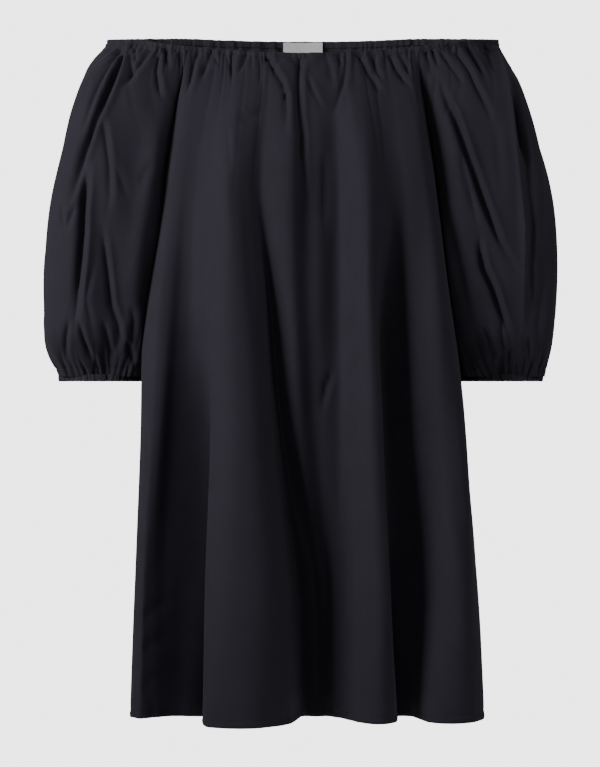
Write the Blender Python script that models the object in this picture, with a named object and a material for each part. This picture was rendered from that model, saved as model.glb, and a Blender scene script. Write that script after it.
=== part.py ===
"""An off-shoulder dress, filled out as if worn: an A-line body with a gathered elastic neckline
that runs over both upper arms, and full sleeves that end in gathered elastic cuffs.

The origin is the centre of the neckline ring. +Z is up, the front faces -Y and +X is the
wearer's left. Sizes are in metres, apart from the fold tables, which are in millimetres.
"""
import math

import bpy
import numpy as np

MM = 0.001

# Cloth
WALL = 1.5 * MM
SEAM_GAP = 0.3 * MM
SEAM_SETBACK = 0.6 * MM

# Neckline ring, seen from above: two shallow bows joined by half ellipses over the arms
RAGLAN_X = 0.140
RAGLAN_Y = 0.084
SHOULDER_X = 0.245
BOW = 0.011
FRONT_TILT = 0.175
BACK_TILT = 0.135
FRONT_SAG = 0.0155
RING_FADE = 0.20

# Elastic casings
CASING_HEIGHT = 9.0 * MM
CASING_WALL = 3.0 * MM
CASING_PROUD = 0.75 * MM
CUFF_HEIGHT = 7.5 * MM

# Levels down from the neckline
PANEL_TOP = CASING_HEIGHT + SEAM_GAP
UNDERARM = 0.205
BUST = 0.200
HIP = 0.500
HEM = 0.832
CUFF = 0.418
SIDE_DROP = 0.014
SIDE_DROP_POWER = 5

# Blank label inside the back neck
LABEL_WIDTH = 0.051
LABEL_HEIGHT = 0.018
LABEL_THICKNESS = 0.8 * MM
LABEL_TOP = 3.0 * MM
LABEL_LEAN = 3.0 * MM
LABEL_FLAT = 0.038
LABEL_FLAT_POWER = 6

# Raglan seams, from the ring to the underarm, then side seams to the hem. The front and the
# back seam stand half_gap before and behind middle_y.
SEAMS = (
    # level, x, middle_y, half_gap
    (0.000, 0.140, 0.000, 0.084),
    (0.045, 0.141, 0.000, 0.081),
    (0.085, 0.148, 0.001, 0.067),
    (0.130, 0.158, 0.003, 0.046),
    (0.175, 0.168, 0.006, 0.022),
    (0.205, 0.174, 0.008, 0.000),
    (0.270, 0.173, 0.010, 0.000),
    (0.340, 0.179, 0.010, 0.000),
    (0.430, 0.188, 0.010, 0.000),
    (0.550, 0.196, 0.010, 0.000),
    (0.700, 0.204, 0.010, 0.000),
    (0.832, 0.209, 0.010, 0.000),
)

# Fold lines of the front, from the wearer's right to left: where each one stands at the
# bust, hip and hem, as x and as distance out from the ring's centre line, in millimetres.
FRONT_FOLDS = (
    # name, bust_x, bust_out, hip_x, hip_out, hem_x, hem_out
    ("right corner", -170, 45, -196, 70, -202, 97),
    ("right flank", -155, 85, -168, 92, -166, 72),
    ("right valley", -132, 104, -134, 97, -128, 45),
    ("right flute edge", -116, 117, -117, 124, -115, 146),
    ("right flute crest", -93, 129, -92, 146, -88, 166),
    ("right flute fall", -80, 131, -46, 140, -32, 143),
    ("middle valley", -66, 130, -16, 104, -6, 62),
    ("middle ridge", -20, 139, 2, 108, 8, 58),
    ("second valley", 22, 138, 22, 104, 26, 76),
    ("left flute rise", 45, 139, 48, 128, 46, 122),
    ("left flute crest", 68, 139, 76, 143, 78, 140),
    ("left flute fall", 88, 134, 95, 134, 102, 122),
    ("left flute edge", 97, 130, 103, 120, 113, 98),
    ("left valley", 106, 121, 115, 92, 121, 56),
    ("left rise", 122, 116, 140, 110, 137, 110),
    ("left crest", 140, 105, 166, 113, 170, 133),
    ("left corner", 166, 68, 193, 80, 209, 110),
)

BACK_FOLDS = (
    # name, bust_x, bust_out, hip_x, hip_out, hem_x, hem_out
    ("right corner", -168, 60, -193, 76, -204, 100),
    ("right crest", -148, 84, -166, 108, -165, 132),
    ("right valley", -122, 97, -131, 96, -130, 80),
    ("right flute rise", -100, 104, -104, 112, -100, 120),
    ("right flute crest", -66, 110, -68, 138, -62, 158),
    ("right flute fall", -30, 113, -28, 128, -20, 130),
    ("middle valley", -4, 111, -2, 104, 0, 84),
    ("left flute rise", 30, 113, 32, 120, 34, 118),
    ("left flute crest", 62, 111, 66, 137, 70, 156),
    ("left flute fall", 92, 107, 100, 122, 108, 128),
    ("left valley", 112, 100, 118, 96, 122, 76),
    ("left rise", 132, 93, 142, 106, 150, 118),
    ("left crest", 150, 82, 170, 110, 180, 138),
    ("left corner", 168, 60, 193, 76, 205, 104),
)

# Sleeves: rounded sections from the ring to the cuff. The inner side follows the raglan
# seams down to the underarm and then inner_x.
SLEEVE_SECTIONS = (
    # level, inner_x, right_outer_x, left_outer_x, middle_y, half_depth
    (0.000, 0.140, 0.245, 0.245, 0.000, 0.084),
    (0.025, 0.140, 0.262, 0.255, 0.000, 0.089),
    (0.050, 0.142, 0.271, 0.264, 0.000, 0.093),
    (0.090, 0.149, 0.283, 0.277, 0.001, 0.095),
    (0.130, 0.158, 0.294, 0.288, 0.003, 0.092),
    (0.175, 0.168, 0.304, 0.300, 0.006, 0.086),
    (0.205, 0.174, 0.310, 0.306, 0.008, 0.083),
    (0.270, 0.180, 0.319, 0.312, 0.011, 0.078),
    (0.330, 0.186, 0.321, 0.312, 0.012, 0.076),
    (0.380, 0.190, 0.320, 0.309, 0.013, 0.070),
    (0.400, 0.193, 0.315, 0.306, 0.014, 0.060),
    (0.418, 0.196, 0.307, 0.303, 0.014, 0.047),
)

# Largest hollows that the sleeves' cloth falls into, seen from the front or the back
SLEEVE_HOLLOWS = (
    # side, face, top_x, top_level, bottom_x, bottom_level, half_width, depth
    (-1, "front", 0.219, 0.030, 0.245, 0.125, 0.009, 0.010),
    (-1, "front", 0.245, 0.125, 0.282, 0.225, 0.010, 0.012),
    (-1, "front", 0.263, 0.185, 0.276, 0.365, 0.011, 0.014),
    (-1, "front", 0.228, 0.100, 0.232, 0.225, 0.014, 0.006),
    (-1, "front", 0.240, 0.300, 0.224, 0.385, 0.011, 0.009),
    (1, "front", 0.166, 0.060, 0.200, 0.165, 0.011, 0.012),
    (1, "front", 0.200, 0.165, 0.255, 0.305, 0.011, 0.013),
    (1, "front", 0.221, 0.305, 0.249, 0.385, 0.010, 0.012),
    (1, "front", 0.262, 0.190, 0.268, 0.360, 0.009, 0.008),
    (-1, "back", 0.215, 0.040, 0.255, 0.175, 0.010, 0.011),
    (-1, "back", 0.236, 0.210, 0.276, 0.345, 0.011, 0.012),
    (1, "back", 0.198, 0.050, 0.244, 0.190, 0.011, 0.012),
    (1, "back", 0.262, 0.200, 0.240, 0.350, 0.011, 0.012),
)

# Gathers
BODY_GATHER_DEPTH = (0.0025, 0.0055)
BODY_GATHER_LENGTH = (0.025, 0.085)
CUFF_GATHER_DEPTH = (0.0025, 0.0050)
CUFF_GATHER_LENGTH = (0.020, 0.055)
FRONT_GATHERS = 18
BACK_GATHERS = 16
SLEEVE_GATHERS = 14
CUFF_GATHERS = 28
GATHER_WIDTH = 0.3
GATHER_FADE = 2.0

# Uneven crowding of the gathers: waves over the panel's width, and their strength
CROWDING_WAVES = (
    # pace, strength
    (15.0, 0.0060),
    (37.0, 0.0042),
)

# Mesh
COLUMNS_PER_GATHER = 4
BODY_LEVELS = (PANEL_TOP, 0.021, 0.037, 0.060, 0.090, 0.125, 0.165, UNDERARM, 0.260, 0.320,
               0.385, 0.455, 0.535, 0.615, 0.690, 0.765, HEM)
SLEEVE_LEVELS = (PANEL_TOP, 0.021, 0.037, 0.060, 0.090, 0.125, 0.165, UNDERARM, 0.250, 0.300,
                 0.340, 0.370, 0.392, 0.407, CUFF)
SECTION_STEPS = 400
RING_SEGMENTS = 96
CUFF_SEGMENTS = 32
LABEL_SEGMENTS = 6
SMOOTH_ANGLE = 50

# Colours
CLOTH_COLOUR = (0.012, 0.012, 0.016, 1.0)
CASING_COLOUR = (0.010, 0.010, 0.014, 1.0)
LABEL_COLOUR = (0.62, 0.62, 0.60, 1.0)
ROUGHNESS = 0.6


def curve_through(places, values, at):
    """Read a smooth curve through rows of values, given at increasing places."""
    places = np.asarray(places, float)
    values = np.asarray(values, float)
    at = np.asarray(at, float)
    gaps = np.diff(places)
    slopes = np.diff(values, axis=0) / gaps[:, None]
    tangents = np.empty_like(values)
    tangents[0] = slopes[0]
    tangents[-1] = slopes[-1]
    weighted = slopes[:-1] * gaps[1:, None] + slopes[1:] * gaps[:-1, None]
    tangents[1:-1] = weighted / (gaps[:-1] + gaps[1:])[:, None]
    span = np.clip(np.searchsorted(places, at, side="right") - 1, 0, len(gaps) - 1)
    gap = gaps[span][:, None]
    t = (at - places[span])[:, None] / gap
    start = (1 + 2 * t) * (1 - t) ** 2 * values[span]
    start_pull = t * (1 - t) ** 2 * gap * tangents[span]
    end = t * t * (3 - 2 * t) * values[span + 1]
    end_pull = t * t * (t - 1) * gap * tangents[span + 1]
    return start + start_pull + end + end_pull


def read_table(table, level, columns):
    """Read one row of a table between its levels."""
    levels = [row[0] for row in table]
    values = [[row[c] for c in columns] for row in table]
    return curve_through(levels, values, [level])[0]


def spaced_along(points, places, end_gap):
    """Points at given shares of a line's length, which stops end_gap short at both ends."""
    steps = np.linalg.norm(np.diff(points, axis=0), axis=1)
    length = np.concatenate(([0.0], np.cumsum(steps)))
    at = end_gap + np.asarray(places) * (length[-1] - 2 * end_gap)
    return np.column_stack([np.interp(at, length, points[:, k]) for k in range(2)])


def bow_out(x):
    """How far the ring's front or back bow stands out over the raglan ends."""
    return BOW * (0.5 + 0.5 * np.cos(math.pi * x / RAGLAN_X))


def ring_height(points, level):
    """How far the tilted, sagging neckline lifts points over their level, fading downwards."""
    x, y = points[:, 0], points[:, 1]
    fade = min(1.0, max(0.0, 1.0 - (level - PANEL_TOP) / RING_FADE)) ** 2
    sag = FRONT_SAG * (0.5 + 0.5 * np.cos(math.pi * np.clip(x / RAGLAN_X, -1.0, 1.0)))
    return np.where(y < 0.0, FRONT_TILT * y - sag, BACK_TILT * y) * fade


def uneven_places(count, seed):
    """Shares from 0 to 1 for count columns, crowded and spread a little as gathered cloth is."""
    share = np.linspace(0.0, 1.0, count + 1)
    waves = np.zeros(count + 1)
    for pace, strength in CROWDING_WAVES:
        waves += strength * np.sin(pace * share + seed)
    return share + np.sin(math.pi * share) * waves


def gather_depths(columns, gathers, run, depths, lengths, seed):
    """Depth of the gathers at each column, run metres away from the elastic."""
    random = np.random.default_rng(seed)
    depth = random.uniform(*depths, gathers)
    length = random.uniform(*lengths, gathers)
    share = np.linspace(0.0, 1.0, columns + 1) * gathers
    from_seam = np.minimum(share, gathers - share)
    total = np.zeros(columns + 1)
    for k in range(gathers):
        across = np.exp(-((share - k - 0.5) / GATHER_WIDTH) ** 2)
        total += depth[k] * across * np.exp(-GATHER_FADE * (run / length[k]) ** 2)
    return total * np.minimum(1.0, from_seam)


def outward_normals(grid, wrapped_from):
    """Outward normals of a grid of points, whose rows from wrapped_from on are closed rings.
    They are level along the top and bottom edges.
    """
    down = np.gradient(grid, axis=0)
    across = np.gradient(grid, axis=1)
    seam = grid[wrapped_from:, 1] - grid[wrapped_from:, -2]
    across[wrapped_from:, 0] = seam
    across[wrapped_from:, -1] = seam
    normals = np.cross(across, -down)
    normals[[0, -1], :, 2] = 0.0
    return normals / np.linalg.norm(normals, axis=2, keepdims=True)


def fold_places(folds, level, seam_x, seam_out, bust_seam_x, bust_seam_out):
    """Where each fold line stands at a level, as x and as distance out, in metres."""
    bust = np.array([(row[1], row[2]) for row in folds]) * MM
    if level >= BUST:
        hip = np.array([(row[3], row[4]) for row in folds]) * MM
        hem = np.array([(row[5], row[6]) for row in folds]) * MM
        stations = np.array((bust, hip, hem)).reshape(3, -1)
        return curve_through((BUST, HIP, HEM), stations, [level]).reshape(-1, 2)
    bust_shape = bust[:, 1] - bust_seam_out
    ring_shape = bow_out(bust[:, 0] * RAGLAN_X / bust_seam_x)
    fullness = math.sin(math.pi / 2 * level / BUST)
    ring_deepest = RAGLAN_Y + BOW
    deepest = ring_deepest + (bust[:, 1].max() - ring_deepest) * fullness
    turned = (deepest - seam_out - BOW) / (bust_shape.max() - BOW)
    out = seam_out + (1.0 - turned) * ring_shape + turned * bust_shape
    return np.column_stack((bust[:, 0] * seam_x / bust_seam_x, out))


def section_line(folds, level, facing):
    """One section of the front or back through its fold lines, from right seam to left seam."""
    out = -1.0 if facing == "front" else 1.0
    seams = []
    for place in (level, BUST):
        x, middle_y, half_gap = read_table(SEAMS, place, (1, 2, 3))
        seams.append((x, max(0.0, half_gap) + out * middle_y))
    (seam_x, seam_out), (bust_seam_x, bust_seam_out) = seams
    inside = fold_places(folds, level, seam_x, seam_out, bust_seam_x, bust_seam_out)
    keys = np.concatenate(([(-seam_x, seam_out)], inside, [(seam_x, seam_out)]))
    keys[:, 1] *= out
    chords = np.concatenate(([0.0], np.cumsum(np.linalg.norm(np.diff(keys, axis=0), axis=1))))
    return curve_through(chords, keys, np.linspace(0.0, chords[-1], SECTION_STEPS))


def body_grid(folds, facing, columns, seed):
    """Points of the front or back, a row for each level, going round counterclockwise."""
    places = uneven_places(columns, seed)
    side = np.abs(2.0 * places - 1.0) ** SIDE_DROP_POWER
    rows = []
    for level in BODY_LEVELS:
        points = spaced_along(section_line(folds, level, facing), places, SEAM_GAP / 2)
        height = -level + ring_height(points, level)
        height = height - SIDE_DROP * side * (level / HEM) ** 3
        rows.append(np.column_stack((points, height)))
    grid = np.array(rows)
    return grid[:, ::-1] if facing == "back" else grid


def sleeve_grid(side, columns, seed):
    """Points of one sleeve, a row for each level. Rows above the underarm are open arcs."""
    outer_column = 2 if side < 0 else 3
    rows = []
    for level in SLEEVE_LEVELS:
        inner, outer, middle, half_depth = read_table(
            SLEEVE_SECTIONS, level, (1, outer_column, 4, 5)
        )
        opening = 0.0
        if level < UNDERARM:
            seam_x, middle, half_gap = read_table(SEAMS, level, (1, 2, 3))
            inner = seam_x
            opening = math.asin(min(1.0, half_gap / half_depth))
        else:
            inner = inner + SEAM_GAP
        half_width = (outer - inner) / (1.0 + math.cos(opening))
        angles = np.linspace(opening, 2 * math.pi - opening, SECTION_STEPS)
        line = np.column_stack((
            outer - half_width - half_width * np.cos(angles),
            middle - half_depth * np.sin(angles),
        ))
        end_gap = SEAM_GAP / 2 if level < UNDERARM else 0.0
        points = spaced_along(line, uneven_places(columns, seed), end_gap)
        height = -level + ring_height(points, level)
        rows.append(np.column_stack((points, height)))
    grid = np.array(rows)
    if side < 0:
        grid = grid[:, ::-1] * np.array((-1.0, 1.0, 1.0))
    return grid


def hollow_depths(grid, side):
    """Depth of the sleeve's large hollows at each point of its grid."""
    total = np.zeros(grid.shape[:2])
    for hollow_side, face, top_x, top, bottom_x, bottom, half_width, depth in SLEEVE_HOLLOWS:
        if hollow_side != side:
            continue
        along = (-grid[:, :, 2] - top) / (bottom - top)
        line_x = top_x + np.clip(along, 0, 1) * (bottom_x - top_x)
        across = (np.abs(grid[:, :, 0]) - line_x) / half_width
        ends = np.clip(1.0 - (2.0 * along - 1.0) ** 4, 0.0, 1.0)
        front = grid[:, :, 1] < 0.0
        facing = front if face == "front" else ~front
        total += depth * np.exp(-across ** 2) * ends * facing
    return total


def wall_mesh(name, grid, joined_from, colour):
    """A closed wall on a grid of outer points. Rows from joined_from on are closed rings. At
    open side edges the inner points are set back, so that neighbours clear each other there,
    and the top edge lies along the underside of the neckline casing.
    """
    row_count, column_count = grid.shape[:2]
    inner = grid - WALL * outward_normals(grid, joined_from)
    for edge, beside in ((0, 1), (-1, -2)):
        inward = grid[:joined_from, beside] - grid[:joined_from, edge]
        inward = inward / np.linalg.norm(inward, axis=1, keepdims=True)
        inner[:joined_from, edge] += SEAM_SETBACK * inward
    inner[joined_from:, -1] = inner[joined_from:, 0]
    for face in (grid, inner):
        face[0, :, 2] = ring_height(face[0], 0.0) - PANEL_TOP
    layer = row_count * column_count

    def corner(row, column, inside):
        if row >= joined_from and column == column_count - 1:
            column = 0
        return inside * layer + row * column_count + column

    faces = []
    for row in range(row_count - 1):
        for column in range(column_count - 1):
            square = [
                (row, column),
                (row + 1, column),
                (row + 1, column + 1),
                (row, column + 1),
            ]
            faces.append([corner(r, c, 0) for r, c in square])
            faces.append([corner(r, c, 1) for r, c in reversed(square)])
    for column in range(column_count - 1):
        for row, flip in ((0, 1), (row_count - 1, -1)):
            rim = [
                corner(row, column, 0),
                corner(row, column + 1, 0),
                corner(row, column + 1, 1),
                corner(row, column, 1),
            ]
            faces.append(rim[::flip])
    for row in range(min(joined_from, row_count - 1)):
        for column, flip in ((0, -1), (column_count - 1, 1)):
            rim = [
                corner(row, column, 0),
                corner(row + 1, column, 0),
                corner(row + 1, column, 1),
                corner(row, column, 1),
            ]
            faces.append(rim[::flip])
    points = np.concatenate((grid.reshape(-1, 3), inner.reshape(-1, 3)))
    return make_object(name, points, faces, colour)


def ring_mesh(name, outer_top, outer_bottom, inner_bottom, inner_top, colour):
    """A closed band through four rings of points, each going round counterclockwise."""
    rings = (outer_top, outer_bottom, inner_bottom, inner_top)
    count = len(outer_top)
    faces = []
    for ring in range(4):
        below = (ring + 1) % 4
        for k in range(count):
            after = (k + 1) % count
            faces.append([
                ring * count + k,
                below * count + k,
                below * count + after,
                ring * count + after,
            ])
    return make_object(name, np.concatenate(rings), faces, colour)


def make_object(name, points, faces, colour):
    """Add a mesh object without its unused points, smooth shaded, in a cloth material."""
    used = sorted({corner for face in faces for corner in face})
    number = {corner: k for k, corner in enumerate(used)}
    mesh = bpy.data.meshes.new(name)
    mesh.from_pydata(
        [tuple(points[corner]) for corner in used],
        [],
        [[number[corner] for corner in face] for face in faces],
    )
    mesh.validate()
    mesh.shade_smooth()
    mesh.set_sharp_from_angle(angle=math.radians(SMOOTH_ANGLE))
    material = bpy.data.materials.new(name)
    material.use_nodes = True
    shader = material.node_tree.nodes["Principled BSDF"]
    shader.inputs["Base Color"].default_value = colour
    shader.inputs["Roughness"].default_value = ROUGHNESS
    shader.inputs["Metallic"].default_value = 0.0
    mesh.materials.append(material)
    made = bpy.data.objects.new(name, mesh)
    bpy.context.scene.collection.objects.link(made)
    return made


def sunk(grid, depths, joined_from):
    """Press grid points inwards by their depths."""
    return grid - outward_normals(grid, joined_from) * depths[:, :, None]


def body_panel(name, folds, facing, gathers, seed):
    """The front or the back: a wall with its flutes below and its gathers under the ring."""
    columns = gathers * COLUMNS_PER_GATHER
    grid = body_grid(folds, facing, columns, seed)
    depths = np.array([
        gather_depths(columns, gathers, level - PANEL_TOP, BODY_GATHER_DEPTH,
                      BODY_GATHER_LENGTH, seed)
        for level in BODY_LEVELS
    ])
    if facing == "back":
        depths = depths * (1.0 - np.exp(-(grid[:, :, 0] / LABEL_FLAT) ** LABEL_FLAT_POWER))
    open_rows = len(BODY_LEVELS)
    return wall_mesh(name, sunk(grid, depths, open_rows), open_rows, CLOTH_COLOUR)


def sleeve(name, side, seed):
    """One sleeve: open along the raglan seams, closed from the underarm to the cuff."""
    columns = SLEEVE_GATHERS * COLUMNS_PER_GATHER
    grid = sleeve_grid(side, columns, seed)
    underarm_row = SLEEVE_LEVELS.index(UNDERARM)
    depths = np.array([
        gather_depths(columns, SLEEVE_GATHERS, level - PANEL_TOP, BODY_GATHER_DEPTH,
                      BODY_GATHER_LENGTH, seed)
        + gather_depths(columns, CUFF_GATHERS, CUFF - level, CUFF_GATHER_DEPTH,
                        CUFF_GATHER_LENGTH, seed + 1)
        for level in SLEEVE_LEVELS
    ])
    depths = depths + hollow_depths(grid, side)
    depths[underarm_row - 2:, 0] = 0.0
    depths[underarm_row - 2:, -1] = 0.0
    return wall_mesh(name, sunk(grid, depths, underarm_row), underarm_row, CLOTH_COLOUR)


def offset_ring(points, distance):
    """A flat ring of points moved outwards by a distance."""
    ahead = np.roll(points, -1, axis=0) - np.roll(points, 1, axis=0)
    outward = np.column_stack((ahead[:, 1], -ahead[:, 0]))
    return points + distance * outward / np.linalg.norm(outward, axis=1, keepdims=True)


def neckline_ring():
    """The neckline seen from above, counterclockwise from the front's right end."""
    x = np.linspace(-RAGLAN_X, RAGLAN_X, SECTION_STEPS)
    bow = np.column_stack((x, -RAGLAN_Y - bow_out(x)))
    angles = np.linspace(-math.pi / 2, math.pi / 2, SECTION_STEPS)
    arm = np.column_stack((
        RAGLAN_X + (SHOULDER_X - RAGLAN_X) * np.cos(angles),
        RAGLAN_Y * np.sin(angles),
    ))
    loop = np.concatenate((bow[:-1], arm[:-1], -bow[:-1], -arm))
    places = np.linspace(0.0, 1.0, RING_SEGMENTS + 1)[:-1]
    return spaced_along(loop, places, 0.0)


def at_ring_height(points, level):
    """Lift a flat ring to the neckline's tilt and sag."""
    return np.column_stack((points[:, :2], ring_height(points, 0.0) - level))


def neck_casing():
    """The casing with its elastic, a band all round the neckline."""
    ring = neckline_ring()
    outer = offset_ring(ring, CASING_PROUD)
    inner = offset_ring(ring, CASING_PROUD - CASING_WALL)
    return ring_mesh(
        "neck_casing",
        at_ring_height(outer, 0.0),
        at_ring_height(outer, CASING_HEIGHT),
        at_ring_height(inner, CASING_HEIGHT),
        at_ring_height(inner, 0.0),
        CASING_COLOUR,
    )


def cuff_casing(name, side):
    """The casing with its elastic, a band below one sleeve."""
    outer_column = 2 if side < 0 else 3
    inner_x, outer_x, middle, half_depth = read_table(
        SLEEVE_SECTIONS, CUFF, (1, outer_column, 4, 5)
    )
    angles = np.linspace(0.0, 2 * math.pi, CUFF_SEGMENTS + 1)[:-1]
    ring = np.column_stack((
        side * (inner_x + outer_x) / 2 + (outer_x - inner_x) / 2 * np.cos(angles),
        middle + half_depth * np.sin(angles),
    ))
    outer = offset_ring(ring, CASING_PROUD)
    inner = offset_ring(ring, CASING_PROUD - CASING_WALL)
    top = -CUFF - SEAM_GAP

    def level(points, height):
        return np.column_stack((points, np.full(len(points), height)))

    return ring_mesh(
        name,
        level(outer, top),
        level(outer, top - CUFF_HEIGHT),
        level(inner, top - CUFF_HEIGHT),
        level(inner, top),
        CASING_COLOUR,
    )


def neck_label():
    """The blank label: sewn to the casing inside the back neck, its lower end hanging free."""
    x = np.linspace(LABEL_WIDTH / 2, -LABEL_WIDTH / 2, LABEL_SEGMENTS + 1)
    ring_y = RAGLAN_Y + bow_out(x)
    casing_y = ring_y + CASING_PROUD - CASING_WALL - SEAM_GAP
    top = BACK_TILT * ring_y - LABEL_TOP
    rings = []
    for toward_neck in (0.0, LABEL_THICKNESS):
        for lean, drop in ((0.0, 0.0), (LABEL_LEAN, LABEL_HEIGHT)):
            rings.append(np.column_stack((x, casing_y - toward_neck - lean, top - drop)))
    back_top, back_bottom, face_top, face_bottom = rings
    count = len(x)
    order = (back_top, back_bottom, face_bottom, face_top)
    faces = []
    for ring in range(4):
        below = (ring + 1) % 4
        for k in range(count - 1):
            faces.append([
                ring * count + k,
                below * count + k,
                below * count + k + 1,
                ring * count + k + 1,
            ])
    last = count - 1
    faces.append([3 * count, 2 * count, count, 0])
    faces.append([last, count + last, 2 * count + last, 3 * count + last])
    return make_object("neck_label", np.concatenate(order), faces, LABEL_COLOUR)


for old in list(bpy.data.objects):
    bpy.data.objects.remove(old, do_unlink=True)

body_panel("front", FRONT_FOLDS, "front", FRONT_GATHERS, 3)
body_panel("back", BACK_FOLDS, "back", BACK_GATHERS, 5)
sleeve("sleeve_right", -1, 7)
sleeve("sleeve_left", 1, 11)
neck_casing()
cuff_casing("cuff_casing_right", -1)
cuff_casing("cuff_casing_left", 1)
neck_label()
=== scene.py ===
"""An off-shoulder dress in near-black cotton poplin, filled out as if worn.

It has an A-line body of a front and a back panel, full raglan sleeves, and gathered elastic
casings round the neckline and both cuffs. The front faces -Y and +X is the wearer's left.
"""
import math

import bpy
import numpy as np
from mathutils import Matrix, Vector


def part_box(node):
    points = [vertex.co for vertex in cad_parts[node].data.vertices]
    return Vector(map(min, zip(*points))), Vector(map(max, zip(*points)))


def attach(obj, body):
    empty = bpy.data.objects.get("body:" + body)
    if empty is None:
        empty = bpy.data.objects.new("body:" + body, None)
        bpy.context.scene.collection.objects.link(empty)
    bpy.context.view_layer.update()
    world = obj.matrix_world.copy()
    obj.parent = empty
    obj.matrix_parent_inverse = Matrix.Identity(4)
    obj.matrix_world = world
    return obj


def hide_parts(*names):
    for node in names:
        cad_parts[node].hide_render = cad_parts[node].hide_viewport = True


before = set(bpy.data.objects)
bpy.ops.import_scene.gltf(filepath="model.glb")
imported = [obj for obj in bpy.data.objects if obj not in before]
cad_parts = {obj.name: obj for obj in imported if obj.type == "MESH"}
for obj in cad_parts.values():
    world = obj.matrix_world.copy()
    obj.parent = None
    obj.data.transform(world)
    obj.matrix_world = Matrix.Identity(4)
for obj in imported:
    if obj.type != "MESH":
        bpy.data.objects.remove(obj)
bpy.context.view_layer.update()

# Front panel
# One wide length of cotton poplin, gathered into the neckline's elastic. Below the bust it
# falls in two big flutes and a side panel, with narrow valleys between them, and its sides
# are sewn to the sleeves along the raglan seams and to the back below them.
MM = 0.001
CLOTH_THICKNESS = 1.1 * MM
RAGLAN_X = 0.140
RAGLAN_Y = 0.084
SHOULDER_X = 0.245
BOW = 0.011
FRONT_TILT = 0.175
FRONT_SAG = 0.0155
FRONT_SAG_END = 0.20
BACK_TILT = 0.187
BACK_SAG = 0.004
BACK_SAG_END = 0.14
RING_FADE = 0.20
CASING_HEIGHT = 0.009
UNDERARM = 0.205
BUST = 0.200
HEM = 0.832
SIDE_DROP = 0.014
SIDE_DEPTH = 0.09
PANEL_START = 0.005
HEM_TURNING = 0.0075

# Raglan seams down to the underarm, then side seams to the hem, in metres
SEAMS = (
    # level, x, middle_y, half_gap
    (0.000, 0.140, 0.000, 0.084),
    (0.045, 0.141, 0.000, 0.081),
    (0.085, 0.148, 0.001, 0.067),
    (0.130, 0.156, 0.003, 0.046),
    (0.175, 0.164, 0.006, 0.022),
    (0.205, 0.168, 0.008, 0.000),
    (0.270, 0.163, 0.010, 0.000),
    (0.340, 0.168, 0.010, 0.000),
    (0.430, 0.181, 0.010, 0.000),
    (0.550, 0.194, 0.010, 0.000),
    (0.700, 0.204, 0.010, 0.000),
    (0.832, 0.209, 0.010, 0.000),
)

# Where each fold line of the front stands at five levels, as x and distance out in millimetres
FRONT_LEVELS = (0.200, 0.330, 0.500, 0.670, 0.832)
FRONT_LINES = (
    # name, x and out at the bust, waist, hip, thigh and hem
    ("side roll", -173, 44, -194, 42, -200, 50, -207, 60, -210, 70),
    ("rim", -168, 70, -186, 69, -193, 78, -201, 84, -204, 92),
    ("side crest", -160, 90, -174, 90, -183, 98, -192, 95, -196, 99),
    ("side fall", -149, 95, -160, 92, -172, 98, -182, 92, -186, 94),
    ("side valley", -139, 97, -147, 88, -159, 87, -166, 79, -168, 81),
    ("side hollow", -129, 100, -135, 88, -136, 77, -137, 66, -138, 62),
    ("flute back", -120, 105, -120, 100, -106, 73, -107, 56, -111, 48),
    ("flute turn", -113, 111, -113, 112, -108, 92, -113, 84, -116, 82),
    ("flute edge", -107, 117, -109, 120, -111, 114, -117, 112, -120, 124),
    ("flute shoulder", -100, 123, -102, 129, -105, 129, -111, 137, -113, 154),
    ("flute crest", -90, 129, -86, 137, -82, 145, -86, 156, -85, 166),
    ("flute fall", -79, 127, -69, 135, -60, 142, -53, 155, -46, 160),
    ("flute far edge", -71, 124, -59, 127, -47, 132, -31, 141, -19, 138),
    ("flute far turn", -63, 120, -51, 118, -38, 117, -20, 120, -9, 112),
    ("valley side", -58, 116, -46, 106, -31, 95, -10, 92, -2, 84),
    ("middle valley", -53, 113, -40, 95, -24, 80, 4, 63, 10, 57),
    ("ridge rise", -44, 115, -31, 105, -14, 91, 13, 60, 17, 55),
    ("middle ridge", -13, 122, -12, 115, -3, 99, 21, 67, 24, 61),
    ("second valley", 3, 108, 4, 104, 15, 91, 29, 70, 30, 72),
    ("low ridge", 20, 108, 20, 103, 28, 92, 35, 78, 36, 84),
    ("third valley", 44, 103, 45, 98, 46, 92, 46, 87, 47, 95),
    ("left flute rise", 53, 115, 53, 108, 55, 103, 57, 102, 56, 108),
    ("left flute", 64, 133, 65, 129, 67, 127, 73, 126, 72, 129),
    ("left crest", 77, 138, 78, 138, 84, 139, 92, 138, 92, 138),
    ("left edge", 89, 131, 86, 133, 93, 134, 102, 133, 107, 129),
    ("left turn", 98, 123, 88, 121, 95, 119, 104, 118, 112, 108),
    ("left back", 104, 118, 88, 106, 94, 101, 103, 98, 112, 86),
    ("left hollow", 110, 115, 97, 88, 101, 82, 109, 72, 116, 65),
    ("left rise", 119, 113, 112, 91, 114, 84, 122, 71, 124, 69),
    ("panel rise", 128, 114, 128, 104, 134, 99, 144, 89, 138, 98),
    ("panel", 139, 113, 144, 109, 154, 107, 165, 111, 153, 127),
    ("panel crest", 149, 110, 160, 111, 172, 112, 186, 121, 178, 134),
    ("corner", 156, 101, 171, 102, 188, 106, 200, 114, 203, 123),
    ("corner roll", 161, 76, 179, 76, 198, 78, 210, 87, 216, 99),
)

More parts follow.
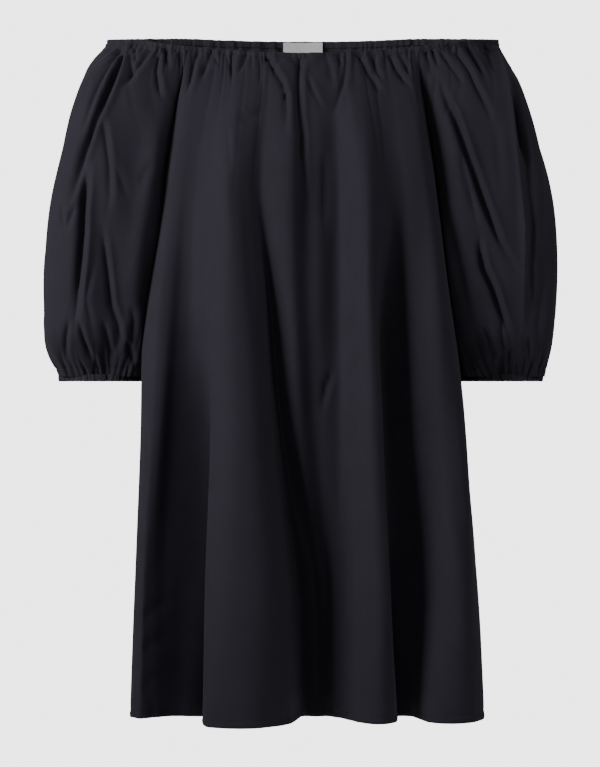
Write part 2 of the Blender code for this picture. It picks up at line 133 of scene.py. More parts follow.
# Creases of the front in millimetres, seen flat on, each with its path as x and drop
FRONT_CREASES = (
    # half_width, depth, ridge, path
    (3.1, 5.2, 0.25, ((-128, 32), (-135, 58), (-143, 89))),
    (2.9, 4.5, 0.25, ((-112, 32), (-117, 49), (-124, 68))),
    (2.3, 3.0, 0.15, ((-106, 35), (-103, 47))),
    (2.9, 2.4, 0.15, ((-94, 32), (-88, 47), (-85, 66))),
    (2.9, 3.9, 0.2, ((-68, 35), (-75, 51), (-79, 61))),
    (2.6, 2.4, 0.15, ((-53, 32), (-51, 54), (-51, 80))),
    (3.0, 5.4, 0.45, ((-42, 37), (-35, 54), (-26, 68), (-21, 85), (-20, 106), (-22, 149))),
    (2.3, 3.0, 0.0, ((-29, 42), (-37, 54))),
    (3.5, 6.6, 0.3, ((-4, 37), (-5, 61), (-5, 82), (-4, 106), (-1, 134), (-1, 163), (1, 194),
                     (8, 230))),
    (2.6, 3.3, 0.0, ((3, 37), (-3, 56))),
    (2.5, 2.5, 0.45, ((2, 56), (11, 78), (20, 97), (26, 109))),
    (2.9, 2.7, 0.2, ((28, 35), (32, 54), (37, 75))),
    (2.6, 2.7, 0.15, ((42, 35), (45, 49))),
    (3.1, 4.2, 0.3, ((52, 37), (50, 61), (42, 89), (34, 116))),
    (3.1, 4.8, 0.3, ((69, 35), (77, 56), (89, 75), (99, 87))),
    (2.9, 3.6, 0.2, ((83, 35), (88, 51), (96, 73))),
    (3.1, 6.0, 0.3, ((105, 35), (111, 51), (121, 66), (133, 78))),
    (2.6, 3.9, 0.2, ((118, 35), (124, 49), (131, 63))),
    (4.2, 2.5, 0.4, ((-82, 109), (-66, 115), (-54, 111), (-43, 101))),
    (3.9, 1.8, 0.2, ((-90, 118), (-88, 152), (-86, 187))),
    (5.2, 2.1, 0.2, ((26, 140), (26, 187), (25, 229), (25, 271))),
    (3.4, 3.9, 0.3, ((37, 409), (30, 431), (24, 450), (21, 469))),
    (3.1, 2.1, 0.0, ((22, 426), (30, 443))),
    (6.0, 1.8, 0.2, ((-199, 714), (-183, 705), (-156, 688))),
    (5.7, 2.1, 0.2, ((-198, 753), (-181, 743), (-152, 729))),
    (5.7, 1.8, 0.2, ((-197, 796), (-180, 786), (-156, 779))),
    (9.1, 2.4, 0.25, ((181, 533), (189, 593), (199, 667))),
    (10.4, 1.8, 0.2, ((163, 688), (178, 731), (197, 769))),
)


def curve_through(places, values, at):
    """Read a smooth curve through rows of values, given at increasing places."""
    places = np.asarray(places, float)
    values = np.asarray(values, float)
    at = np.asarray(at, float)
    gaps = np.diff(places)
    slopes = np.diff(values, axis=0) / gaps[:, None]
    tangents = np.empty_like(values)
    tangents[0] = slopes[0]
    tangents[-1] = slopes[-1]
    weighted = slopes[:-1] * gaps[1:, None] + slopes[1:] * gaps[:-1, None]
    tangents[1:-1] = weighted / (gaps[:-1] + gaps[1:])[:, None]
    span = np.clip(np.searchsorted(places, at, side="right") - 1, 0, len(gaps) - 1)
    gap = gaps[span][:, None]
    t = (at - places[span])[:, None] / gap
    start = (1 + 2 * t) * (1 - t) ** 2 * values[span]
    start_pull = t * (1 - t) ** 2 * gap * tangents[span]
    end = t * t * (3 - 2 * t) * values[span + 1]
    end_pull = t * t * (t - 1) * gap * tangents[span + 1]
    return start + start_pull + end + end_pull


def distances(line):
    """How far along a line each of its points lies."""
    steps = np.linalg.norm(np.diff(line, axis=0), axis=1)
    return np.concatenate(([0.0], np.cumsum(steps)))


def read_at(table, level):
    """A table's values at a level, where each row starts with its own level."""
    return curve_through([row[0] for row in table], [row[1:] for row in table], [level])[0]


def seam_at(level):
    """The seam's x, middle y and half gap at a level."""
    x, middle, half_gap = read_at(SEAMS, level)
    return x, middle, max(0.0, half_gap)


def eased(share):
    """A soft step from 0 to 1."""
    share = np.clip(share, 0.0, 1.0)
    return share * share * (3.0 - 2.0 * share)


def bow_out(x):
    """How far the ring's front or back bow stands out over the raglan ends."""
    return BOW * (0.5 + 0.5 * np.cos(math.pi * x / RAGLAN_X))


def ring_height(x, y, level):
    """How far the tilted, sagging neckline lifts points over their level, fading downwards."""
    fade = min(1.0, max(0.0, 1.0 - (level - CASING_HEIGHT) / RING_FADE)) ** 2
    front_sag = FRONT_SAG * np.maximum(0.0, 1.0 - (x / FRONT_SAG_END) ** 2)
    back_sag = BACK_SAG * np.maximum(0.0, 1.0 - (x / BACK_SAG_END) ** 2)
    return np.where(y < 0.0, FRONT_TILT * y - front_sag, BACK_TILT * y - back_sag) * fade


def fold_places(lines, levels, level, seam, bust_seam):
    """Where each fold line stands at a level, as x and as distance out, in metres."""
    stations = np.array([line[1:] for line in lines], float) * MM
    stations = stations.reshape(len(lines), len(levels), 2).transpose(1, 0, 2)
    if level >= BUST:
        flat = stations.reshape(len(levels), -1)
        return curve_through(levels, flat, [level]).reshape(-1, 2)
    bust = stations[0]
    seam_x, seam_out = seam
    bust_seam_x, bust_seam_out = bust_seam
    bust_shape = bust[:, 1] - bust_seam_out
    ring_shape = bow_out(bust[:, 0] * RAGLAN_X / bust_seam_x)
    ring_deepest = RAGLAN_Y + BOW
    fullness = math.sin(math.pi / 2 * level / BUST)
    deepest = ring_deepest + (bust[:, 1].max() - ring_deepest) * fullness
    turned = (deepest - seam_out - BOW) / (bust_shape.max() - BOW)
    out = seam_out + (1.0 - turned) * ring_shape + turned * bust_shape
    return np.column_stack((bust[:, 0] * seam_x / bust_seam_x, out))


def panel_form(lines, levels, facing, between, rows):
    """Points of the front or back, with some columns between neighbouring fold lines."""
    out = -1.0 if facing == "front" else 1.0
    made = []
    for level in rows:
        seams = []
        for place in (level, BUST):
            x, middle, half_gap = seam_at(place)
            seams.append((x, half_gap + out * middle))
        inside = fold_places(lines, levels, level, seams[0], seams[1])
        ends = np.array((seams[0], seams[0])) * ((-1.0, 1.0), (1.0, 1.0))
        keys = np.concatenate((ends[:1], inside, ends[1:]))
        keys[:, 1] *= out
        chords = distances(keys)
        steps = np.arange(0, (len(keys) - 1) * between + 1) / between
        line = curve_through(chords, keys, np.interp(steps, np.arange(len(keys)), chords))
        height = -level + ring_height(line[:, 0], line[:, 1], level)
        side = eased(1.0 - np.abs(line[:, 1]) / SIDE_DEPTH)
        height = height - SIDE_DROP * side * (level / HEM) ** 3
        made.append(np.column_stack((line, height)))
    form = np.array(made)
    return form[:, ::-1] if facing == "back" else form


def softened(form, passes, axis):
    """Even out a form along one direction, leaving its edges where they are."""
    form = np.moveaxis(form.copy(), axis, 0)
    for _ in range(passes):
        form[1:-1] = 0.25 * form[:-2] + 0.5 * form[1:-1] + 0.25 * form[2:]
    return np.moveaxis(form, 0, axis)


def outward(form, closed_from):
    """Outward directions of a form, whose rows from closed_from on meet themselves."""
    down = np.gradient(form, axis=0)
    across = np.gradient(form, axis=1)
    normals = np.cross(across, -down)
    both = normals[closed_from:, 0] + normals[closed_from:, -1]
    normals[closed_from:, 0] = both
    normals[closed_from:, -1] = both
    return normals / np.maximum(np.linalg.norm(normals, axis=2, keepdims=True), 1e-12)


CREASE_FADE_IN = 0.3
CREASE_FADE_OUT = 0.45
BROAD_CREASE = 6
NARROW_SHARPNESS = 1.3
BROAD_SHARPNESS = 2.0
BANK_WIDTH = 1.2
BANK_SHARPNESS = 1.6


def crease_depths(x, drop, creases, top, bottom):
    """How far creases press the cloth in, in millimetres, at points seen flat on. The ridge is
    the share of the depth that stands up beside a crease. Each fades out at its ends, apart
    from those that run into the piece's gathered top or bottom edge.
    """
    total = np.zeros(x.shape)
    for half_width, depth, ridge, path in creases:
        path = np.array(path, float)
        steps = np.diff(path, axis=0)
        lengths = np.hypot(steps[:, 0], steps[:, 1])
        nearest = np.full(x.shape, np.inf)
        across = np.zeros(x.shape)
        along = np.zeros(x.shape)
        run = 0.0
        for start, step, length in zip(path, steps, lengths):
            share = ((x - start[0]) * step[0] + (drop - start[1]) * step[1]) / length ** 2
            share = np.clip(share, 0.0, 1.0)
            off_x = x - start[0] - share * step[0]
            off_drop = drop - start[1] - share * step[1]
            distance = np.hypot(off_x, off_drop)
            closer = distance < nearest
            side = np.sign(step[1] * off_x - step[0] * off_drop)
            nearest = np.where(closer, distance, nearest)
            across = np.where(closer, side * distance, across)
            along = np.where(closer, run + share * length, along)
            run += length
        fade = np.ones(x.shape)
        if path[0, 1] > top:
            fade = fade * eased(along / (CREASE_FADE_IN * run))
        if path[-1, 1] < bottom:
            fade = fade * eased((run - along) / (CREASE_FADE_OUT * run))
        sharpness = NARROW_SHARPNESS if half_width < BROAD_CREASE else BROAD_SHARPNESS
        trough = np.exp(-np.abs(across / half_width) ** sharpness)
        bank_place = math.copysign(2.0 * half_width, ridge)
        off_bank = np.abs((across - bank_place) / (BANK_WIDTH * half_width))
        bank = np.exp(-off_bank ** BANK_SHARPNESS)
        total += depth * fade * (trough - abs(ridge) * bank)
    return total


def gather_depths(across, run, count, depths, lengths, seed):
    """Depth of small uneven gathers in metres, over shares of the width and runs from the edge."""
    random = np.random.default_rng(seed)
    place = (np.arange(count) + random.uniform(0.15, 0.85, count)) / count
    depth = random.uniform(*depths, count)
    length = random.uniform(*lengths, count)
    width = random.uniform(0.16, 0.34, count) / count
    drift = random.uniform(-0.6, 0.6, count) / count
    slow = random.uniform(1.0, 2.2, count)
    total = np.zeros((len(run), len(across)))
    for k in range(count):
        gap = across[None, :] - place[k] - drift[k] * run[:, None] / length[k]
        trough = np.exp(-np.abs(gap / np.where(gap < 0.0, slow[k], 1.0) / width[k]) ** 1.5)
        total += depth[k] * trough * np.exp(-2.0 * (run[:, None] / length[k]) ** 2)
    return total


DRIFT_WAVES = 7


def slow_drift(form, seed, size, strength):
    """Low unevenness of the hanging cloth, longer down the cloth than across it."""
    random = np.random.default_rng(seed)
    total = np.zeros(form.shape[:2])
    around = form[:, :, 0] + 0.7 * form[:, :, 1]
    for _ in range(DRIFT_WAVES):
        pace_across = random.uniform(0.6, 1.7) * 2 * math.pi / size
        pace_down = random.uniform(-0.35, 0.35) * 2 * math.pi / size
        phase = random.uniform(0.0, 2 * math.pi)
        total += np.sin(pace_across * around + pace_down * form[:, :, 2] + phase)
    return strength * total / DRIFT_WAVES


def placed(name, data):
    """A new object in the scene."""
    piece = bpy.data.objects.new(name, data)
    bpy.context.scene.collection.objects.link(piece)
    return piece


SHARP_EDGE = math.radians(80)


def shell(name, form, closed_from, thickness=CLOTH_THICKNESS):
    """A piece of cloth with a face and a wrong side, joined by narrow edges. Its UV map is the
    flat cloth in metres.
    """
    rows, columns = form.shape[:2]
    wrong_side = form - thickness * outward(form, closed_from)
    layer = rows * columns
    index = np.arange(layer).reshape(rows, columns)
    squares = np.stack((index[:-1, :-1], index[1:, :-1], index[1:, 1:], index[:-1, 1:]), axis=-1)
    squares = squares.reshape(-1, 4)
    faces = [squares, squares[:, ::-1] + layer]
    rim = np.concatenate((index[0, :], index[1:, -1], index[-1, -2::-1], index[-2::-1, 0]))
    before, after = rim[:-1], rim[1:]
    faces.append(np.stack((before, after, after + layer, before + layer), axis=-1))
    faces = np.concatenate(faces)
    mesh = bpy.data.meshes.new(name)
    points = np.concatenate((form.reshape(-1, 3), wrong_side.reshape(-1, 3)))
    mesh.from_pydata(points.tolist(), [], faces.tolist())
    gaps = np.linalg.norm(np.diff(form, axis=1), axis=2).mean(axis=0)
    across = np.broadcast_to(np.concatenate(([0.0], np.cumsum(gaps))), (rows, columns))
    gaps = np.linalg.norm(np.diff(form, axis=0), axis=2).mean(axis=1)
    down = np.broadcast_to(np.concatenate(([0.0], np.cumsum(gaps)))[:, None], (rows, columns))
    flat = np.stack((across, -down), axis=-1).reshape(-1, 2)
    corner = np.empty(len(mesh.loops), np.int32)
    mesh.loops.foreach_get("vertex_index", corner)
    layout = mesh.uv_layers.new(name="flat_cloth")
    layout.data.foreach_set("uv", flat[corner % layer].astype(np.float32).ravel())
    mesh.shade_smooth()
    mesh.set_sharp_from_angle(angle=SHARP_EDGE)
    return placed(name, mesh)


class Thread:
    """A socket of a finish's nodes. Sums and products with it add their Math nodes."""

    def __init__(self, socket):
        self.socket = socket

    def worked(self, operation, *terms):
        return self.node("ShaderNodeMath", {"operation": operation}, dict(enumerate(terms)))

    def node(self, kind, settings, sockets, output=0):
        """Add any node: its settings first, then the values or links of its sockets."""
        nodes = self.socket.id_data
        made = nodes.nodes.new(kind)
        for setting, value in settings.items():
            if setting == "stops":
                for stop, (place, shade) in zip(made.color_ramp.elements, value):
                    stop.position = place
                    stop.color = shade
            else:
                setattr(made, setting, value)
        for place, value in sockets.items():
            if isinstance(value, Thread):
                nodes.links.new(value.socket, made.inputs[place])
            else:
                made.inputs[place].default_value = value
        return Thread(made.outputs[output])

    def into(self, socket):
        self.socket.id_data.links.new(self.socket, socket)

    def __add__(self, other):
        return self.worked("ADD", self, other)

    __radd__ = __add__

    def __mul__(self, other):
        return self.worked("MULTIPLY", self, other)

    __rmul__ = __mul__

    def __sub__(self, other):
        return self.worked("SUBTRACT", self, other)

    def __rsub__(self, other):
        return self.worked("SUBTRACT", other, self)


def new_finish(name):
    """A new material, its shader and its UV coordinates in metres of flat cloth."""
    material = bpy.data.materials.new(name)
    material.use_nodes = True
    shader = material.node_tree.nodes["Principled BSDF"]
    where = material.node_tree.nodes.new("ShaderNodeTexCoord")
    return material, shader, Thread(where.outputs["UV"])


def poplin(name, dark, light, roughness):
    """Near-black cotton poplin: fine ribbed weave, slight slubs and a soft sheen."""
    material, shader, flat = new_finish(name)
    stretched = flat.node("ShaderNodeMapping", {}, {"Vector": flat, "Scale": (90, 9, 1)})
    slub = flat.node("ShaderNodeTexNoise", {}, {"Vector": stretched, "Scale": 4, "Detail": 3})
    cloud = flat.node("ShaderNodeTexNoise", {}, {"Vector": flat, "Scale": 28, "Detail": 3})
    warp = flat.node("ShaderNodeTexWave", {"bands_direction": "X"}, {"Vector": flat, "Scale": 640})
    weft = flat.node("ShaderNodeTexWave", {"bands_direction": "Y"}, {"Vector": flat, "Scale": 420})
    tone = 0.40 * slub + 0.60 * cloud
    colour = tone.node(
        "ShaderNodeValToRGB",
        {"stops": ((0.30, dark), (0.72, light))},
        {"Fac": tone},
    )
    colour.into(shader.inputs["Base Color"])
    (roughness + 0.10 * (cloud - 0.5)).into(shader.inputs["Roughness"])
    weave = 0.30 * warp * weft + 0.70 * slub
    bump = weave.node(
        "ShaderNodeBump", {}, {"Height": weave, "Strength": 0.10, "Distance": 0.0004}
    )
    bump.into(shader.inputs["Normal"])
    shader.inputs["Specular IOR Level"].default_value = 0.16
    shader.inputs["Sheen Weight"].default_value = 0.06
    shader.inputs["Sheen Roughness"].default_value = 0.5
    shader.inputs["Sheen Tint"].default_value = (0.82, 0.82, 0.92, 1)
    return material


body_poplin = poplin(
    "body_poplin", (0.0221, 0.0198, 0.0287, 1), (0.0279, 0.0250, 0.0356, 1), 0.80
)


def panel_rows(count):
    """Levels of a panel's rows: closer at the gathered top, and at the hem's turning."""
    share = np.linspace(0.0, 1.0, count) ** 1.25
    last = HEM - HEM_TURNING - 0.004
    fold = HEM - HEM_TURNING + np.array((-0.0015, -0.0005, 0.0005, 0.0015))
    edge = np.array((HEM - 0.003, HEM - 0.0008, HEM))
    return np.concatenate((PANEL_START + (last - PANEL_START) * share, fold, edge))


def turned_hem(form, rows):
    """How far the hem's turning stands proud of the panel, with a dip along its stitches."""
    above = (HEM - HEM_TURNING) - rows
    proud = 0.5 * MM * eased((0.001 - above) / 0.002)
    dip = 0.7 * MM * np.exp(-((above + 0.0003) / 0.0012) ** 2)
    tuck = 0.6 * MM * eased((rows - HEM + 0.0015) / 0.0015)
    return (proud - dip - tuck)[:, None]


PUCKER_WAVES = 9
PUCKER_SIZES = (0.012, 0.035)
PUCKER_REACH = 0.016
PUCKER_DEPTH = 0.12 * MM


def hem_puckers(form, rows, seed):
    """Small uneven puckers along the hem's stitching."""
    random = np.random.default_rng(seed)
    total = np.zeros(form.shape[:2])
    around = distances(form[-1])
    for _ in range(PUCKER_WAVES):
        pace = 2 * math.pi / random.uniform(*PUCKER_SIZES)
        total += np.sin(pace * around + random.uniform(0.0, 2 * math.pi))[None, :]
    near = np.exp(-((HEM - rows) / PUCKER_REACH) ** 2)[:, None]
    return PUCKER_DEPTH * total * near


STITCH_DIP = 0.6 * MM
STITCH_DIP_WIDTH = 1.1 * MM


def stitch_dip(rows, level):
    """How far a row of stitches at a level pulls the cloth in."""
    return (STITCH_DIP * np.exp(-((rows - level) / STITCH_DIP_WIDTH) ** 2))[:, None]


SHORT_GATHER_DEPTHS = (0.0006, 0.0032)
SHORT_GATHER_LENGTHS = (0.010, 0.050)
LONG_GATHERS = 26
LONG_GATHER_DEPTHS = (0.0003, 0.0014)
LONG_GATHER_LENGTHS = (0.060, 0.240)
LONG_GATHER_SEED = 20
PANEL_CREASE_TOP = 50
PANEL_CREASE_BOTTOM = 840


def finished_panel(name, form, rows, creases, gathers, seed):
    """Press creases, gathers and the turned hem into a panel's form, and make its cloth."""
    random = np.random.default_rng(seed)
    form = softened(softened(form, 3, 1), 14, 0)
    across = np.linspace(0.0, 1.0, form.shape[1])
    x = form[:, :, 0] / MM
    drop = -form[:, :, 2] / MM
    inwards = crease_depths(x, drop, creases, PANEL_CREASE_TOP, PANEL_CREASE_BOTTOM) * MM
    for count, depths, lengths, draw in (
        (gathers, SHORT_GATHER_DEPTHS, SHORT_GATHER_LENGTHS, seed),
        (LONG_GATHERS, LONG_GATHER_DEPTHS, LONG_GATHER_LENGTHS, seed + LONG_GATHER_SEED),
    ):
        inwards += gather_depths(across, rows - PANEL_START, count, depths, lengths, draw)
    inwards += slow_drift(form, seed, 0.09, 0.0022) * eased((rows - 0.03) / 0.2)[:, None]
    inwards -= turned_hem(form, rows) + hem_puckers(form, rows, seed)
    inwards += stitch_dip(rows, CASING_HEIGHT)
    at_seam = np.minimum(across, 1.0 - across) * random.uniform(38, 42)
    inwards = inwards * eased(at_seam)[None, :]
    never = len(rows)
    form = form - outward(form, never) * inwards[:, :, None]
    return shell(name, form, never), form, inwards[0]


front_rows = panel_rows(158)
front_form = panel_form(FRONT_LINES, FRONT_LEVELS, "front", 8, front_rows)
front, front_form, front_pressed = finished_panel(
    "front_cloth", front_form, front_rows, FRONT_CREASES, 32, 3
)
front.data.materials.append(body_poplin)
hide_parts("front")
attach(front, "root")

# Back panel
# Cut like the front, of the same poplin, and gathered into the same elastic. It hangs in four
# softer flutes of uneven size.
BACK_LEVELS = (0.200, 0.500, 0.832)
BACK_LINES = (
    # name, x and out at the bust, hip and hem
    ("right corner", -168, 60, -193, 76, -204, 100),
    ("right crest", -148, 84, -166, 108, -165, 132),
    ("right valley", -122, 97, -131, 96, -130, 80),
    ("right flute rise", -100, 104, -104, 112, -100, 120),
    ("right flute crest", -66, 110, -68, 138, -62, 158),
    ("right flute fall", -30, 113, -28, 128, -20, 130),
    ("middle valley", -4, 111, -2, 104, 0, 84),
    ("left flute rise", 30, 113, 32, 120, 34, 118),
    ("left flute crest", 62, 111, 66, 137, 70, 156),
    ("left flute fall", 92, 107, 100, 122, 108, 128),
    ("left valley", 112, 100, 118, 96, 122, 76),
    ("left rise", 132, 93, 142, 106, 150, 118),
    ("left crest", 150, 82, 170, 110, 180, 138),
    ("left corner", 168, 60, 193, 76, 205, 104),
)
BACK_CREASES = (
    # half_width, depth, ridge, path
    (3.5, 5, 0.2, ((126, 6), (133, 34), (142, 66))),
    (3.5, 3.5, 0, ((108, 4), (114, 26), (121, 52))),
    (3, 2.5, 0, ((88, 4), (84, 24))),
    (4, 6, 0.3, ((62, 2), (58, 28), (64, 62), (66, 118))),
    (3, 3, 0, ((36, 2), (41, 26))),
    (4, 5, 0.2, ((12, 2), (9, 34), (2, 78), (3, 130))),
    (3, 2, 0, ((-10, 2), (-14, 22))),
    (3.5, 4, 0.2, ((-33, 2), (-38, 30), (-34, 64))),
    (3, 2.5, 0, ((-58, 2), (-54, 26))),
    (4, 6.5, 0.3, ((-80, 3), (-83, 36), (-76, 78), (-78, 140))),
    (3, 3, 0, ((-104, 4), (-111, 34))),
    (3.5, 5, 0.2, ((-124, 6), (-131, 36), (-141, 70))),
    (8, 3, 0.3, ((22, 190), (28, 290), (22, 380))),
    (9, 3.5, -0.3, ((-40, 240), (-33, 360), (-42, 470))),
    (8, 3, 0.3, ((98, 330), (106, 440), (101, 560))),
    (7, 3, -0.4, ((-176, 520), (-184, 590), (-193, 660))),
    (6, 3, 0.4, ((190, 700), (176, 722), (150, 742))),
    (6, 2.5, 0.4, ((194, 756), (180, 772), (160, 784))),
    (8, 2.5, 0, ((-150, 690), (-168, 742), (-186, 790))),
)
back_rows = panel_rows(150)
back_form = panel_form(BACK_LINES, BACK_LEVELS, "back", 16, back_rows)
back, back_form, back_pressed = finished_panel(
    "back_cloth", back_form, back_rows, BACK_CREASES, 34, 5
)
back.data.materials.append(body_poplin)
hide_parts("back")
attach(back, "root")

# Sleeves
# Each is one wide piece of the same poplin with an underarm seam. It puffs out from the
# neckline's elastic, falls in long slanting folds, and is gathered again at the cuff.
CUFF = 0.418
CUFF_HEIGHT = 0.0092
SLEEVE_TUCK = 0.0035
SLEEVE_BOTTOM = CUFF + SLEEVE_TUCK
SLEEVE_ROWS = 148
SLEEVE_COLUMNS = 326
ROW_CLOSENESS = 0.10

# A section is an oval at the neckline and squarer below, most of all on its inner half
FLATNESS = 0.37
INNER_FLATNESS = 0.18
FLAT_FROM = 0.006
FLAT_BY = 0.060
ARC_POINTS = 600
COLUMN_SPACING = (0.7, 0.3)
SLEEVE_SECTIONS = (
    # level, right_outer_x, left_outer_x, middle_y, half_depth
    (0.000, 0.245, 0.245, 0.000, 0.084),
    (0.008, 0.247, 0.246, 0.000, 0.085),
    (0.025, 0.261, 0.254, 0.000, 0.090),
    (0.050, 0.271, 0.264, -0.001, 0.094),
    (0.090, 0.283, 0.277, -0.003, 0.099),
    (0.130, 0.294, 0.288, -0.004, 0.100),
    (0.175, 0.304, 0.300, -0.003, 0.098),
    (0.205, 0.310, 0.306, -0.002, 0.096),
    (0.270, 0.319, 0.312, 0.001, 0.091),
    (0.330, 0.321, 0.312, 0.005, 0.085),
    (0.380, 0.320, 0.309, 0.010, 0.075),
    (0.400, 0.315, 0.306, 0.013, 0.062),
    (0.418, 0.307, 0.303, 0.014, 0.047),
)
SLEEVE_INNER = (
    # level, right_inner_x, left_inner_x
    (0.205, 0.168, 0.168),
    (0.270, 0.175, 0.164),
    (0.330, 0.187, 0.172),
    (0.380, 0.192, 0.187),
    (0.400, 0.195, 0.192),
    (0.418, 0.198, 0.196),
)
RIGHT_CREASES = (
    # half_width, depth, ridge, path
    (3.1, 5.1, 0.35, ((-227, 19), (-232, 33), (-243, 60), (-254, 89), (-262, 114), (-271, 141))),
    (4.2, 12.0, 0.4, ((-221, 26), (-224, 43), (-230, 65), (-240, 92), (-250, 113), (-258, 136),
                      (-266, 158), (-272, 182), (-279, 206), (-288, 228))),
    (3.1, 3.6, 0.15, ((-294, 214), (-291, 233), (-288, 248))),
    (3.1, 3.6, 0.15, ((-288, 248), (-282, 233), (-272, 211))),
    (4.7, 12.8, 0.4, ((-258, 145), (-261, 170), (-263, 197), (-265, 219), (-266, 250),
                      (-269, 282), (-272, 310), (-274, 333), (-277, 355), (-283, 382))),
    (3.1, 5.4, 0.3, ((-273, 350), (-267, 375), (-262, 392), (-255, 411))),
    (3.1, 3.9, 0.3, ((-284, 350), (-289, 375), (-291, 392), (-290, 411))),
    (3.4, 5.4, 0.45, ((-243, 233), (-239, 267), (-235, 304), (-232, 336), (-224, 360),
                      (-222, 375), (-227, 392), (-229, 411))),
    (3.4, 2.4, 0.25, ((-252, 277), (-257, 304), (-262, 328), (-257, 355), (-251, 382))),
    (3.9, 3.9, 0.4, ((-243, 99), (-237, 131), (-232, 170), (-232, 206), (-238, 238))),
    (3.4, 4.8, 0.35, ((-174, 36), (-176, 55), (-173, 75), (-168, 92))),
    (3.4, 2.4, 0.2, ((-198, 197), (-189, 177), (-179, 158))),
    (4.4, 2.1, 0.2, ((-226, 158), (-222, 177), (-213, 201), (-206, 214))),
    (2.6, 3.3, 0.15, ((-204, 26), (-202, 43))),
    (3.1, 3.3, 0.25, ((-210, 31), (-206, 55), (-204, 72))),
    (3.4, 3.9, 0.3, ((-185, 26), (-195, 44), (-208, 63), (-223, 82))),
    (3.1, 4.8, 0.25, ((-167, 21), (-165, 36), (-160, 53))),
    (2.6, 3.0, 0.15, ((-155, 21), (-152, 33))),
    (2.9, 3.9, 0.25, ((-145, 21), (-143, 36), (-145, 53))),
    (4.7, 3.6, 0.35, ((-210, 328), (-205, 355), (-207, 377), (-212, 404))),
    (3.1, 3.6, 0.25, ((-244, 350), (-238, 375), (-235, 394), (-238, 411))),
    (3.1, 4.8, 0.25, ((-215, 377), (-210, 396), (-207, 411))),
    (11, -5.0, 0, ((-165, 72), (-174, 133), (-187, 194), (-196, 255), (-204, 316), (-210, 383))),
)
LEFT_CREASES = (
    # half_width, depth, ridge, path
    (3.6, 12.9, 0.4, ((162, 55), (167, 77), (174, 97), (181, 111), (190, 136), (201, 167),
                      (213, 201), (224, 228), (236, 258), (250, 282), (267, 311))),
    (3.6, 11.1, 0.4, ((211, 245), (213, 270), (218, 292), (229, 314), (240, 345), (250, 372),
                      (255, 392))),
    (4.3, -6.4, 0.4, ((236, 19), (242, 43), (247, 75), (252, 121), (257, 162), (263, 211),
                      (267, 267), (267, 328), (266, 409))),
    (3.4, 7.8, 0.25, ((251, 65), (257, 97), (263, 133), (268, 158), (273, 187))),
    (4.7, 3.3, 0.25, ((274, 201), (277, 243), (272, 287), (278, 328), (277, 365))),
    (4.7, 3.0, 0.25, ((289, 267), (290, 316), (286, 365), (289, 409))),
    (3.1, 4.8, 0.3, ((217, 357), (227, 377), (231, 394), (233, 409))),
    (3.1, 4.5, 0.3, ((240, 350), (241, 372), (245, 392), (244, 409))),
    (3.1, 4.8, 0.35, ((200, 19), (205, 33), (213, 50), (223, 67))),
    (3.4, 3.9, 0.3, ((168, 33), (179, 50), (194, 75))),
    (3.4, 5.1, 0.4, ((186, 31), (199, 53), (208, 75), (220, 99), (230, 126))),
    (2.9, 3.6, 0.25, ((155, 24), (160, 38), (164, 53))),
    (3.1, 3.6, 0.3, ((222, 19), (225, 36), (233, 58))),
    (3.1, 4.8, 0.3, ((147, 24), (151, 43), (155, 65))),
    (3.9, 4.5, 0.3, ((186, 145), (194, 180), (203, 214), (213, 250))),
    (6.0, 2.4, 0.3, ((228, 109), (233, 148), (238, 187), (240, 219))),
    (7.8, 3.0, 0.25, ((174, 206), (181, 255), (194, 310), (203, 365))),
    (2.9, 3.9, 0.2, ((253, 389), (255, 411))),
    (2.9, 3.9, 0.2, ((274, 372), (277, 392), (278, 411))),
)

# Creases of a sleeve's outer side, seen from that side, each with its path as y and drop
OUTER_CREASES = (
    # half_width, depth, ridge, path
    (3.5, 4.5, 0.30, ((-38, 14), (-33, 60), (-24, 118))),
    (3.0, 3.5, 0.25, ((-16, 8), (-14, 48), (-5, 96))),
    (3.5, 5.0, 0.35, ((8, 6), (6, 60), (14, 130), (12, 190))),
    (3.0, 3.5, 0.25, ((30, 8), (27, 50), (36, 102))),
    (3.5, 4.5, 0.30, ((52, 10), (47, 60), (39, 128))),
    (4.5, 4.5, 0.35, ((-32, 176), (-22, 250), (-25, 330), (-15, 395))),
    (4.0, 4.5, -0.30, ((28, 206), (36, 280), (29, 350), (22, 417))),
    (3.0, 3.5, 0.25, ((3, 326), (7, 375), (4, 417))),
    (3.0, 3.0, 0.25, ((46, 340), (41, 382), (34, 417))),
    (3.0, 3.5, 0.25, ((-38, 350), (-29, 390), (-23, 417))),
)


def mirrored(creases, shift):
    """The creases of the other sleeve, for this one's unseen back, moved a little down."""
    return [
        (half_width, depth, -ridge, tuple((-x, drop + shift) for x, drop in path))
        for half_width, depth, ridge, path in creases
    ]


